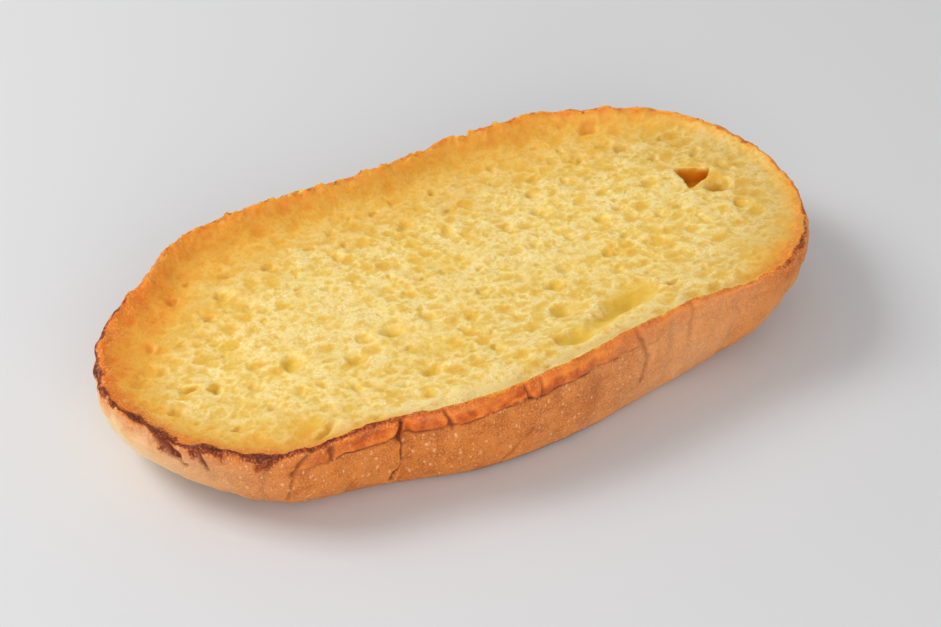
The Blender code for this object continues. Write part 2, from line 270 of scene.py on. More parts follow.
# Paler lower crust: partly the loaf's own pale underside, partly painted light on the left end,
# which faces the lamps
UNDERSIDE = (0.1, 0.1, 0, 0, 0, 0, 0, 0.1, 0.3, 0.9,
             1.0, 0.42, 0.05, 0, 0, 0, 0, 0.05, 0.1, 0.1)
PALE_CRUST = (0.2, 0.2, 0.2, 0.1, 0.1, 0.1, 0.1, 0.2, 0.2, 0.4,
              0.4, 0.1, 0, 0, 0, 0.05, 0.18, 0.2, 0.0, 0.1)
SCORCHED_FOOT = (0.1, 0.1, 0.2, 0.3, 0.2, 0.3, 0.2, 0.3, 0.1, 0,
                 0, 0, 0, 0, 0.5, 1.0, 0.2, 0, 0, 0)


def smooth_step(low, high, value):
    """0 below low, 1 above high and a smooth rise between them."""
    share = np.clip((value - low) / (high - low), 0.0, 1.0)
    return share * share * (3 - 2 * share)


def round_curve(values, turn):
    """Smooth closed curve through values that stand at even turns."""
    values = np.asarray(values, float)
    place = (turn % 1.0) * len(values)
    start = np.floor(place).astype(int)
    part = place - start
    before, first, second, after = (values[(start + step) % len(values)] for step in (-1, 0, 1, 2))
    bend = 2 * before - 5 * first + 4 * second - after
    twist = 3 * first - before - 3 * second + after
    return 0.5 * (2 * first + (second - before) * part + bend * part ** 2 + twist * part ** 3)


def strength(values, turn):
    """Closed curve held between 0 and 1."""
    return np.clip(round_curve(values, turn), 0, 1)


# ---------------------------------------------------------------- noise
AXIS_PRIMES = np.array((73856093, 19349663, 83492791))
SEED_PRIME = 2654435761
FIRST_PRIME = 2246822519
SECOND_PRIME = 3266489917
LOW_BITS = 0xFFFFFFFF
SMALLEST_HOLLOW = 0.35
HOLLOW_SPREAD = 0.5
HOLLOW_BOWL = 1.3
SHALLOWEST = 0.35


def cell_random(cells, seed, count):
    """Random numbers from 0 to 1 that belong to whole-number cells of space."""
    mixed = cells @ AXIS_PRIMES + seed * SEED_PRIME
    numbers = []
    for _ in range(count):
        mixed = ((mixed ^ (mixed >> 15)) * FIRST_PRIME) & LOW_BITS
        mixed = ((mixed ^ (mixed >> 13)) * SECOND_PRIME) & LOW_BITS
        mixed ^= mixed >> 16
        numbers.append(mixed / 2 ** 32)
    return numbers


def soft_noise(points, grain, seed):
    """Smooth noise from -1 to 1 with bumps as wide as the grain."""
    scaled = points / grain
    cell = np.floor(scaled).astype(np.int64)
    part = scaled - cell
    part = part * part * (3 - 2 * part)
    total = np.zeros(len(points))
    for corner in np.ndindex(2, 2, 2):
        weight = np.prod(np.where(corner, part, 1 - part), axis=1)
        total += weight * cell_random(cell + np.array(corner), seed, 1)[0]
    return total * 2 - 1


def layered_noise(points, grain, seed, layers=3):
    """Soft noise with finer layers on it."""
    return sum(soft_noise(points, grain / 2 ** layer, seed + layer) / 2 ** layer
               for layer in range(layers))


def hollows(points, grain, seed):
    """Soft round hollows of random size, about a grain apart: 0 between them to 1 in the deepest."""
    scaled = points / grain
    cell = np.floor(scaled).astype(np.int64)
    deepest = np.zeros(len(points))
    for step in np.ndindex(3, 3, 3):
        near = cell + np.array(step) - 1
        x, y, z, luck = cell_random(near, seed, 4)
        away = np.linalg.norm(scaled - near - np.stack((x, y, z), axis=1), axis=1)
        radius = SMALLEST_HOLLOW + HOLLOW_SPREAD * luck
        inside = np.clip(1 - (away / radius) ** 2, 0, 1)
        depth = SHALLOWEST + (1 - SHALLOWEST) * luck
        deepest = np.maximum(deepest, inside ** HOLLOW_BOWL * depth)
    return deepest


def uneven(points, grain, seed):
    """The solid's own noise: one vector of about unit size for each point."""
    offset = Vector((seed, seed * 1.7, seed * 0.3))
    return np.array([noise.noise_vector(Vector(point) / grain + offset) for point in points])


# ---------------------------------------------------------------- form
def spine_place(u, v):
    """Foot on the spine, direction, share of the way out, and turn, for the flat grid."""
    beyond = np.abs(u) - SPINE_HALF
    side = np.copysign(1.0, v)
    middle = beyond <= 0
    safe_beyond = np.where(beyond > 0, beyond, 1.0)
    safe_v = np.where(np.abs(v) > 0, np.abs(v), 1.0)
    flat = math.pi / 4 * v / safe_beyond
    steep = side * (math.pi / 2 - math.pi / 4 * beyond / safe_v)
    angle = np.where(beyond >= np.abs(v), flat, steep)
    along = angle * END_RADIUS
    left = ~middle & (u < 0)
    along = np.where(left, PERIMETER / 2 - along, along)
    angle = np.where(left, math.pi - angle, angle)
    angle = np.where(middle, side * math.pi / 2, angle)
    along = np.where(middle, side * (END_ARC / 2 + SPINE_HALF - u), along)
    share = np.maximum(beyond, np.abs(v)) / END_RADIUS
    foot = np.clip(u, -SPINE_HALF, SPINE_HALF)
    return foot, angle, share, (along / PERIMETER) % 1.0


def crumb_height(x, y):
    """Height of the dish's floor, without its holes."""
    height = CRUMB_HEIGHT + CRUMB_RISE_RIGHT * smooth_step(*CRUMB_RISE_X, x)
    height -= CRUMB_DROP_LEFT * smooth_step(*CRUMB_DROP_X, x)
    ridge = np.exp(-((y - FRONT_RIDGE_Y) / FRONT_RIDGE_SPREAD) ** 2)
    return height + FRONT_RIDGE_RISE * ridge * smooth_step(*FRONT_RIDGE_X, x)


def scattered_holes():
    """The small holes, drawn as in the solid."""
    draw = random.Random(SMALL_HOLE_SEED)
    holes = []
    while len(holes) < SMALL_HOLE_COUNT:
        x = draw.uniform(*SMALL_HOLE_X_MM)
        y = draw.uniform(*SMALL_HOLE_Y_MM)
        half_width = SMALLEST_HOLE_MM + SMALL_HOLE_SPREAD_MM * draw.random() ** 2
        half_length = half_width * draw.uniform(*SMALL_HOLE_LENGTHS)
        turn = draw.uniform(-90, 90)
        near_slope = math.hypot(max(abs(x) - SPINE_HALF / MM, 0.0), y) > SMALL_HOLE_FIELD_MM
        crowded = any(math.hypot(x - hole[0], y - hole[1]) < SMALL_HOLE_SPACING_MM + hole[2]
                      for hole in list(HOLES_MM) + holes)
        if not near_slope and not crowded:
            holes.append((x, y, half_length, half_width, turn, half_width, 0, 0))
    return holes


def rim_points(foot, angle, turn):
    """The rim before its roughness."""
    reach = round_curve(RIM_REACH_MM, turn) * MM
    height = round_curve(RIM_HEIGHT_MM, turn) * MM
    return np.stack((foot + reach * np.cos(angle), reach * np.sin(angle), height), axis=1)


def rim_shape(points, turn, angle, away):
    """How the edge of the cut is torn and rounded, at a way from the rim."""
    move = np.zeros_like(points)
    near = away < RIM_SHAPE_REACH
    if not near.any():
        return move
    place = points[near]
    gap = away[near][:, None]
    ragged = round_curve(RAGGED_RIM, turn[near])[:, None]
    patchy = np.clip(0.75 + 0.6 * soft_noise(place, TEAR_PATCH_GRAIN, 24), 0.3, 1.2)[:, None]
    tear = uneven(place, RIM_GRAIN, 3) * RIM_ROUGHNESS * smooth_step(TEAR_WIDTH, 0.0, gap) * patchy
    crags = np.zeros_like(place)
    for grain, depth, reach, seed in CRAGS_MM:
        close = smooth_step(reach * MM, CRAG_EDGE, gap)
        crags += uneven(place, grain * MM, seed) * depth * MM * close
    crags *= 1.5 - patchy
    corner = np.clip(1 - gap / RIM_ROUND, 0, None) ** 2 * RIM_ROUND * 0.3
    outward = np.stack((np.cos(angle[near]), np.sin(angle[near]), np.ones(near.sum())), axis=1)
    move[near] = tear * (0.5 + 0.5 * ragged) + crags * ragged - corner * outward
    return move


def bowl(x, y, hole, flat_share):
    """How deep a place lies in an oval hole, 0 outside it to 1 on its flat middle."""
    centre_x, centre_y, half_length, half_width, turn = hole[:5]
    cosine = math.cos(math.radians(turn))
    sine = math.sin(math.radians(turn))
    away_x = x - centre_x * MM
    away_y = y - centre_y * MM
    along = (away_x * cosine + away_y * sine) / (half_length * MM)
    across = (away_y * cosine - away_x * sine) / (half_width * MM)
    return 1 - smooth_step(flat_share, HOLE_EDGE, np.hypot(along, across))


def three_cornered(x, y):
    """The same for the big hole, which has three corners."""
    centre_x, centre_y, inner_radius, turn = BIG_HOLE_MM[:4]
    away_x = x - centre_x * MM
    away_y = y - centre_y * MM
    total = np.zeros(len(x))
    for side in range(3):
        direction = math.radians(turn + 120 * side)
        reach = away_x * math.cos(direction) + away_y * math.sin(direction)
        total += np.clip(reach / (inner_radius * MM), 0, None) ** CORNER_POWER
    return 1 - smooth_step(*BIG_HOLE_EDGE, total ** (1 / CORNER_POWER))


def sink_holes(x, y):
    """How far the crumb is carried into its holes, and how deep it lies in them, 0 to 1."""
    flat = np.stack((x, y, np.zeros(len(x))), axis=1)
    warp_x = layered_noise(flat, HOLE_WARP_GRAIN, 31) * MM
    warp_y = layered_noise(flat, HOLE_WARP_GRAIN, 37) * MM
    move = np.zeros((len(x), 3))
    depth = np.zeros(len(x))
    for hole in list(HOLES_MM[1:]) + list(FOLDS_MM):
        half_width, _, deep, lean_x, lean_y = hole[3:]
        warp = NARROW_WARP if half_width < NARROW_HOLE_MM else WIDE_WARP
        flat_share = WIDE_FLAT_SHARE if half_width > WIDE_HOLE_MM else FLAT_SHARE
        inside = bowl(x + warp_x * warp, y + warp_y * warp, hole, flat_share)
        move += inside[:, None] * np.array((lean_x, lean_y, -HOLE_SINK * deep)) * MM
        depth = np.maximum(depth, inside * min(deep / FULL_COLOUR_MM, 1.0))
    for hole in scattered_holes():
        deep = hole[5]
        inside = bowl(x + warp_x, y + warp_y, hole, FLAT_SHARE)
        move[:, 2] -= inside * deep * SMALL_HOLE_SINK * MM
        depth = np.maximum(depth, inside * min(deep / SMALL_FULL_COLOUR_MM, SMALL_MOST_COLOUR))
    deep, lean_x, lean_y = BIG_HOLE_MM[4:]
    deepest = three_cornered(x + warp_x * BIG_HOLE_WARP, y + warp_y * BIG_HOLE_WARP)
    move += deepest[:, None] * np.array((lean_x, lean_y, -deep)) * MM
    return move, depth, deepest


def top_surface(u, v):
    """The cut face: its points and what the relief and the colours need to know."""
    foot, angle, share, turn = spine_place(u, v)
    rim = rim_points(foot, angle, turn)
    x = foot + share * (rim[:, 0] - foot)
    y = share * rim[:, 1]
    gap = (1 - share) * round_curve(RIM_REACH_MM, turn) * MM
    inward = gap / (round_curve(SLOPE_WIDTH_MM, turn) * MM)
    floor = crumb_height(x, y)
    height = floor + (rim[:, 2] - floor) * np.clip(1 - inward, 0, None) ** SLOPE_EXPONENT
    move, hole, deepest = sink_holes(x, y)
    points = np.stack((x, y, height), axis=1)
    fade = smooth_step(0.0, CRUMB_FADE, gap)[:, None]
    soft = uneven(points, RIM_GRAIN, 8) * CRUMB_ROUGHNESS * fade
    points = points + rim_shape(points, turn, angle, gap) + soft + move
    return {"points": points, "turn": turn, "gap": gap, "drop": np.zeros(len(x)),
            "height": points[:, 2], "hole": hole, "deepest": deepest}


def crease_depth(turn, height):
    """Depth of the broad creases in the side."""
    depth = np.zeros(len(turn))
    for place, half_width, deepest, slant in CREASES_MM:
        centre = place + slant * MM * (height / CREASE_SLANT_HEIGHT - 0.5) / PERIMETER
        away = (turn - centre + 0.5) % 1.0 - 0.5
        depth += deepest * MM * np.exp(-(away * PERIMETER / (half_width * MM)) ** 2)
    return depth


def side_surface(foot, angle, turn, level):
    """One ring of the side, from the rim, level 0, to the base, level 1."""
    rim = rim_points(foot, angle, turn)
    inset = round_curve(BASE_INSET_MM, turn)
    roundness = np.minimum(inset / ROUND_INSET_MM, 1.0)
    power = 2 / (SQUARE_EXPONENT + (ROUND_EXPONENT - SQUARE_EXPONENT) * roundness)
    drop = math.sin(level * math.pi / 2) ** power
    inset = inset * MM * (1 - max(math.cos(level * math.pi / 2), 0.0) ** power)
    height = rim[:, 2] * (1 - drop)
    below_rim = rim[:, 2] - height
    lip = smooth_step(0.0, LIP_DEPTH / 4, below_rim)
    lip *= smooth_step(LIP_DEPTH * LIP_FADE, LIP_DEPTH, below_rim)
    swell = BELLY * np.sin(math.pi * drop) + LIP_PROUD * lip
    free = smooth_step(0.0, CREASE_FOOT_FADE, height)
    free *= smooth_step(0.0, CREASE_RIM_FADE, below_rim)
    out = swell - inset - free * crease_depth(turn, height)
    x = rim[:, 0] + out * np.cos(angle)
    y = rim[:, 1] + out * np.sin(angle)
    points = np.stack((x, y, height), axis=1)
    bump = uneven(points, SIDE_GRAIN, 5) * CRUST_ROUGHNESS * 0.5
    bump += uneven(points, BROAD_GRAIN, 6) * CRUST_ROUGHNESS
    bump *= smooth_step(0.0, TEAR_REACH, below_rim)[:, None]
    torn = rim_shape(points, turn, angle, below_rim)
    bump += torn * smooth_step(0.0, TEAR_FOOT_FADE, height)[:, None]
    bump[:, 2] *= smooth_step(0.0, BUMP_FOOT_FADE, height)
    blank = np.zeros(len(turn))
    return {"points": points + bump, "turn": turn, "gap": blank, "drop": below_rim,
            "height": height, "hole": blank, "deepest": blank}


def base_surface(foot, angle, share, turn, ring):
    """The flat base, inside the side's last ring."""
    order = np.argsort(ring["turn"])
    edge_turn = ring["turn"][order]
    edge = ring["points"][order]
    edge_x, edge_y = (np.interp(turn, edge_turn, edge[:, axis], period=1.0) for axis in (0, 1))
    blank = np.zeros(len(turn))
    points = np.stack((foot + share * (edge_x - foot), share * edge_y, blank), axis=1)
    return {"points": points, "turn": turn, "gap": blank, "drop": blank + BASE_DROP,
            "height": blank, "hole": blank, "deepest": blank}


def grid_quads(index):
    """Faces of a grid of vertex numbers, seen from above."""
    corners = (index[:-1, :-1], index[:-1, 1:], index[1:, 1:], index[1:, :-1])
    return np.stack([corner.ravel() for corner in corners], axis=1)


def build_surface():
    """Points, faces and notes of the whole closed surface: cut face, side and base."""
    columns = round(2 * (SPINE_HALF + END_RADIUS) / FINE_STEP)
    rows = round(2 * END_RADIUS / FINE_STEP)
    v, u = np.meshgrid(np.linspace(-1, 1, rows + 1) * END_RADIUS,
                       np.linspace(-1, 1, columns + 1) * (SPINE_HALF + END_RADIUS), indexing="ij")
    index = np.arange(u.size).reshape(u.shape)
    border = np.concatenate((index[0, :-1], index[:-1, -1], index[-1, :0:-1], index[:0:-1, 0]))
    parts = [top_surface(u.ravel(), v.ravel())]
    quads = [grid_quads(index)]

    foot, angle, share, turn = spine_place(u.ravel()[border], v.ravel()[border])
    count = u.size
    upper = border
    for step in range(1, SIDE_RINGS + 1):
        ring = side_surface(foot, angle, turn, step / SIDE_RINGS)
        lower = count + np.arange(len(border))
        quads.append(np.stack((upper, lower, np.roll(lower, -1), np.roll(upper, -1)), axis=1))
        parts.append(ring)
        upper = lower
        count += len(border)

    inside = np.ones(u.shape, bool)
    inside[0] = inside[-1] = inside[:, 0] = inside[:, -1] = False
    base_index = np.zeros_like(index)
    base_index.ravel()[border] = upper
    base_index[inside] = count + np.arange(inside.sum())
    parts.append(base_surface(*spine_place(u[inside], v[inside]), ring))
    quads.append(grid_quads(base_index)[:, ::-1])
    surface = {key: np.concatenate([part[key] for part in parts]) for key in parts[0]}
    return surface, np.concatenate(quads), u.size


# ---------------------------------------------------------------- relief
FOAM_STRETCH = (0.85, 1.0, 1.0)
FOAM_WARP_GRAIN = 3.0 * MM
FOAM_WARP = 0.7
FOAM_WARP_SEEDS = (61, 64, 67)
# Grain, depth in mm and seed of the foam's hollows, and the depth where wide and middling meet
WIDE_HOLLOWS = (4.4 * MM, 0.52, 71)
MIDDLING_HOLLOWS = (2.3 * MM, 0.28, 73)
SMALL_HOLLOWS = (1.6 * MM, 0.2, 75)
SHARED_DEPTH = 0.1
FOAM_PATCH_GRAIN = 16 * MM
FULL_PORE = 0.44 * MM
# The ridge at the front is calmer, and painted paler as painted light where it faces the lamp: its
# turn, half width in turns, and reach inward
RIDGE_TURN = 0.75
RIDGE_HALF_TURN = 0.16
RIDGE_REACH = (13 * MM, 5 * MM)
WALL_GRAIN = 1.1 * MM
WALL_HEIGHT = 0.1
TOAST_RAGGED_GRAIN = 5 * MM
TOASTED_EDGE = (2.0 * MM, 0.3 * MM)
# How far in from the rim the crumb's painted shade reaches
PAINTED_SHADE_REACH = (36 * MM, 6 * MM)


def foam_hollows(warped):
    """Depth of the foam in mm: wide, middling and small hollows."""
    wide_grain, wide_depth, wide_seed = WIDE_HOLLOWS
    grain, depth, seed = MIDDLING_HOLLOWS
    small_grain, small_depth, small_seed = SMALL_HOLLOWS
    wide = np.clip(hollows(warped, wide_grain, wide_seed) * 1.5 - 0.5, 0, 1)
    middling = hollows(warped, grain, seed)
    small = hollows(warped, small_grain, small_seed)
    larger = np.maximum(wide * wide_depth, middling * depth)
    return larger + SHARED_DEPTH * np.minimum(wide, middling) + small_depth * small


def crumb_relief(part):
    """Depth of the foam in the cut face, and its masks."""
    points = part["points"]
    turn = part["turn"]
    gap = part["gap"]
    hole = np.maximum(part["hole"], part["deepest"])
    warp = np.stack([layered_noise(points, FOAM_WARP_GRAIN, seed, 2) for seed in FOAM_WARP_SEEDS],
                    axis=1)
    warped = (points + warp * FOAM_WARP * MM) * np.array(FOAM_STRETCH)
    patchy = 1.0 + 0.3 * layered_noise(points, FOAM_PATCH_GRAIN, 64, 2)
    on_ridge = np.exp(-((turn - RIDGE_TURN) / RIDGE_HALF_TURN) ** 2) * smooth_step(*RIDGE_REACH, gap)
    toast_width = round_curve(TOAST_WIDTH_MM, turn) * MM
    smooth = smooth_step(toast_width * 1.2, toast_width * 0.3, gap)
    in_hole = smooth_step(0.1, 0.8, hole)
    foam = foam_hollows(warped)
    foam *= patchy * (1 - 0.45 * on_ridge) * MM
    foam *= (1 - 0.3 * smooth) * (1 - 0.65 * in_hole) * smooth_step(0.0, 1.5 * MM, gap)
    walls = layered_noise(warped, WALL_GRAIN, 65, 2) * WALL_HEIGHT * MM * (1 - 0.7 * hole)

    ragged = layered_noise(points, TOAST_RAGGED_GRAIN, 81)
    toast = np.exp(-np.clip(gap / toast_width * (1 + 0.3 * ragged), 0, None) ** 1.5)
    toast *= strength(TOAST, turn)
    toasted_edge = 0.85 * smooth_step(*TOASTED_EDGE, gap * (1 + 0.6 * ragged))
    # Painted shade: the crumb is darker towards the rim
    painted_shade = strength(PAINTED_SHADE_BY_TURN, turn) * smooth_step(*PAINTED_SHADE_REACH, gap * (1 + 0.3 * ragged))
    # Painted light: the front ridge is painted paler
    pore = foam / FULL_PORE - 0.3 * on_ridge
    return foam - walls, {"pore": np.clip(pore, -0.3, 1.5),
                          "painted_shade": painted_shade,
                          "toast": np.maximum(toast, toasted_edge)}


CRACK_WANDER_GRAIN = 3.5 * MM
CRACK_WANDER = 0.8
CRACK_WIDTH_GRAIN = 2 * MM
CRACK_WIDENING = 1.25


def crack_lines(turn, height, points):
    """Depth of the cracks in the crust, and their darkness, which is painted shade."""
    wander = layered_noise(points, CRACK_WANDER_GRAIN, 51) * CRACK_WANDER * MM
    width = 0.85 + 0.5 * soft_noise(points, CRACK_WIDTH_GRAIN, 57)
    depth = np.zeros(len(turn))
    crack_shade = np.zeros(len(turn))
    for top_turn, top, foot_turn, foot, half_width, deep, darkness in CRACKS_MM:
        run_x = (foot_turn - top_turn) * PERIMETER
        run_z = (foot - top) * MM
        x = ((turn - top_turn + 0.5) % 1.0 - 0.5) * PERIMETER + wander
        z = height - top * MM
        share = np.clip((x * run_x + z * run_z) / (run_x ** 2 + run_z ** 2), 0, 1)
        away = np.hypot(x - share * run_x, z - share * run_z)
        away /= half_width * CRACK_WIDENING * MM * width
        line = np.exp(-away ** 2)
        depth = np.maximum(depth, line * deep * MM)
        crack_shade = np.maximum(crack_shade, line * darkness)
    return depth, crack_shade


TALL_STRETCH = 0.3
WRINKLE_GRAIN = 4.5 * MM
WRINKLE_DEPTH = 0.26
CRUST_GRAIN = 1.5 * MM
CRUST_GRAIN_DEPTH = 0.08
BAND_GRAIN = 7 * MM
BAND_WANDER = 0.9
STEP_HALF_WIDTH = 0.42 * MM
STEP_DEPTH = 0.5 * MM
STEP_GRAIN = 4 * MM
# Between two heights over the base or drops below the rim
CALM_FOOT = (0.3 * MM, 4 * MM)
CALM_RIM = (0.0, 1.2 * MM)
FRINGE_REACH = (3.2 * MM, 0.2 * MM)
FRINGE_GRAIN = 6 * MM
FRINGE_WANDER = 1.6 * MM
SCORCH_REACH = (2.0 * MM, 0.4 * MM)
UNDERSIDE_REACH = (27 * MM, 16 * MM)
PALE_GRAIN = 12 * MM
GLAZE_REACH = (0.5 * MM, -0.5 * MM)


def crust_relief(part):
    """Depth of the crust's cracks, wrinkles and grain, and its masks."""
    points = part["points"]
    turn = part["turn"]
    drop = part["drop"]
    height = part["height"]
    depth, crack_shade = crack_lines(turn, height, points)
    tall = np.stack((turn * PERIMETER, np.zeros(len(turn)), points[:, 2] * TALL_STRETCH), axis=1)
    wrinkles = layered_noise(tall, WRINKLE_GRAIN, 67) * WRINKLE_DEPTH * MM
    grain = layered_noise(points, CRUST_GRAIN, 68, 2) * CRUST_GRAIN_DEPTH * MM
    band_foot = LIP_DEPTH * 1.1 + layered_noise(tall, BAND_GRAIN, 83) * BAND_WANDER * MM
    glaze = strength(GLAZE, turn)
    step_line = np.clip(glaze * 1.3, 0, 1) * np.exp(-((drop - band_foot) / STEP_HALF_WIDTH) ** 2)
    step_line *= 0.8 + 0.5 * soft_noise(points, STEP_GRAIN, 87)
    standing = smooth_step(*CALM_FOOT, height) * smooth_step(*CALM_RIM, drop)
    relief = (depth - wrinkles - grain + STEP_DEPTH * step_line) * standing

    wander = FRINGE_WANDER * layered_noise(points, FRINGE_GRAIN, 89, 2)
    fringe = smooth_step(*FRINGE_REACH, drop - wander)
    scorched = smooth_step(*SCORCH_REACH, height - grain * 6)
    underside_and_painted_light = strength(UNDERSIDE, turn) * smooth_step(*UNDERSIDE_REACH, height + wrinkles * 6)
    flushed = strength(PALE_CRUST, turn) * (1 + 0.5 * layered_noise(points, PALE_GRAIN, 93, 2))
    on_band = glaze * (drop < band_foot)
    # The line mask is painted shade: in the cracks and under the glazed band's step
    return relief, {"glaze": glaze * smooth_step(*GLAZE_REACH, drop - band_foot),
                    "line": np.maximum(step_line, crack_shade),
                    "foot": strength(SCORCHED_FOOT, turn) * scorched,
                    "underside_and_painted_light": np.maximum(underside_and_painted_light, flushed),
                    "fringe": fringe * strength(FRINGE, turn),
                    "speckle": strength(SPECKLE, turn) * (1 - 0.8 * on_band)}


def past_rim(part):
    """Distance out over the rim, where crumb turns into crust: below 0 on the cut face."""
    out = part["drop"] - part["gap"]
    for turn, halfway, inward in CURLS:
        out = out + inward * MM * np.exp(-((part["turn"] - turn) / halfway) ** 2)
    return out


BURN_GRAIN = 5 * MM
LEAST_BURN_MM = 0.9
BURN_SPREAD_MM = 3.6
# How fast the burning and its halo fade on the crumb's side and on the crust's
BURN_FADE = (1.3, 0.8)
HALO_FADE = (1.0, 2.5)
HALO_WANDER = 2 * MM
HALO_REACH = (6.5 * MM, 0.5 * MM)
RIM_BLEND = 3 * MM


def burnt_rim(part):
    """Where the edge of the cut is burnt, on both sides of the rim, and its singed halo."""
    out = past_rim(part)
    on_crumb = out < 0
    away = np.where(on_crumb, -out * BURN_FADE[0], out * BURN_FADE[1])
    patches = np.clip(0.5 + 0.6 * layered_noise(part["points"], BURN_GRAIN, 85), 0, 1.3)
    burn = strength(BURN, part["turn"])
    reach = burn * (LEAST_BURN_MM + BURN_SPREAD_MM * patches ** 2.5) * MM
    burnt = smooth_step(1.5, 0.0, away / np.maximum(reach, 0.01 * MM)) * smooth_step(0.1, 0.7, burn)
    halo = np.where(on_crumb, -out * HALO_FADE[0], out * HALO_FADE[1]) - HALO_WANDER * patches
    return burnt, burn * smooth_step(*HALO_REACH, halo)


def add_relief(surface, normals, top_count):
    """Carry the points into pores and cracks, and note what the colours need."""
    top = {key: values[:top_count] for key, values in surface.items()}
    side = {key: values[top_count:] for key, values in surface.items()}
    top_depth, top_masks = crumb_relief(top)
    side_depth, side_masks = crust_relief(side)
    depth = np.concatenate((top_depth, side_depth))
    points = surface["points"] - normals * depth[:, None]
    points[:, 2] = np.maximum(points[:, 2], 0.0)
    blank_top = np.zeros(top_count)
    blank_side = np.zeros(len(side_depth))
    masks = {name: np.concatenate((values, blank_side)) for name, values in top_masks.items()}
    masks.update({name: np.concatenate((blank_top, values)) for name, values in side_masks.items()})
    masks["toast"][top_count:] = 1.0
    masks["burn"], masks["singe"] = burnt_rim(surface)
    masks["hole"] = surface["hole"]
    masks["deepest"] = surface["deepest"]
    masks["crust"] = np.clip(0.5 + past_rim(surface) / RIM_BLEND, 0, 1)
    surface["points"] = points
    return masks


# ---------------------------------------------------------------- piece
def thin_out(mesh):
    """Merge faces where the surface is plain, down to TRIANGLE_LIMIT."""
    holder = bpy.data.objects.new("full_detail", mesh)
    bpy.context.scene.collection.objects.link(holder)
    decimate = holder.modifiers.new("Thin out", "DECIMATE")
    decimate.ratio = min(TRIANGLE_LIMIT / (2 * len(mesh.polygons)), 1.0)
    graph = bpy.context.evaluated_depsgraph_get()
    thinned = bpy.data.meshes.new_from_object(holder.evaluated_get(graph))
    bpy.data.objects.remove(holder, do_unlink=True)
    return thinned


def centre_on_solid(points):
    """Move the points so that their middle lies over the solid's."""
    middle = (points.min(axis=0) + points.max(axis=0)) / 2
    low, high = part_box("french_toast")
    points[:, :2] += [(low.x + high.x) / 2 - middle[0], (low.y + high.y) / 2 - middle[1]]


def make_toast():
    """The whole toast as one fine mesh, with a point attribute for each mask."""
    surface, quads, top_count = build_surface()
    mesh = bpy.data.meshes.new("toast_surface")
    mesh.from_pydata(surface["points"].tolist(), [], quads.tolist())
    normals = np.empty(len(mesh.vertices) * 3, np.float32)
    mesh.vertex_normals.foreach_get("vector", normals)
    masks = add_relief(surface, normals.reshape(-1, 3).astype(float), top_count)
    centre_on_solid(surface["points"])
    mesh.vertices.foreach_set("co", surface["points"].ravel())
    for name, values in masks.items():
        layer = mesh.attributes.new(name, "FLOAT", "POINT")
        layer.data.foreach_set("value", values.astype(np.float32))
    mesh.update()
    mesh = thin_out(mesh)
    mesh.shade_smooth()
    toast = bpy.data.objects.new("toasted_half_loaf", mesh)
    bpy.context.scene.collection.objects.link(toast)
    return toast


